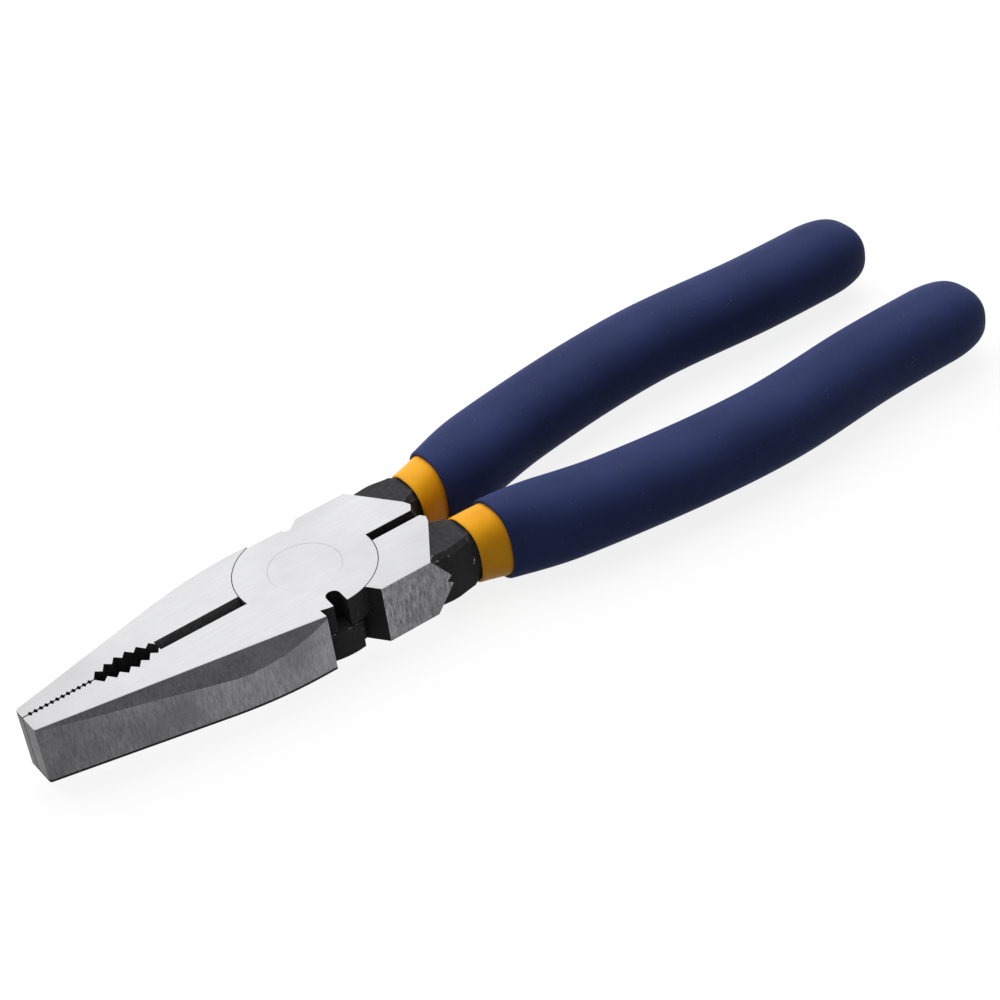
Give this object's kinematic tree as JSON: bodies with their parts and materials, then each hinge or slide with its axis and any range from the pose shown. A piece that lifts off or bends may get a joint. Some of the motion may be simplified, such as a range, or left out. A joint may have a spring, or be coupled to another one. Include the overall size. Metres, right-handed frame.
{
  "type": "combination pliers",
  "caption": "Combination pliers: crossed steel levers on a riveted lap joint, with gripping teeth, pipe grip, wire cutters and dipped soft handle sleeves.",
  "frame": {"origin": "on the pivot axis, at the flat underside of the joint", "axes": "+X from the joint towards the handle ends, +Z along the pivot axis, up from the underside; the jaws point along -X"},
  "size_m": [0.2043, 0.0558, 0.016],
  "materials": {
    "ground_steel": "ground faces, brushed sides, black unground tangs",
    "rivet_steel": "ground flush with the head",
    "yellow_vinyl": "satin dipped vinyl",
    "navy_vinyl": "matte, slightly grainy dipped vinyl"
  },
  "bodies": {
    "rear_half": {"rear_lever": "ground_steel", "rear_inner_sleeve": "yellow_vinyl", "rear_outer_grip": "navy_vinyl", "pivot_rivet": "rivet_steel"},
    "front_half": {"front_lever": "ground_steel", "front_inner_sleeve": "yellow_vinyl", "front_outer_grip": "navy_vinyl"}
  },
  "joints": [
    {"name": "jaw_pivot", "type": "hinge", "parent": "rear_half", "child": "front_half", "pos_m": [0, 0, 0.0061], "axis": [0, 0, 1], "range_deg": [0, 40]}
  ]
}
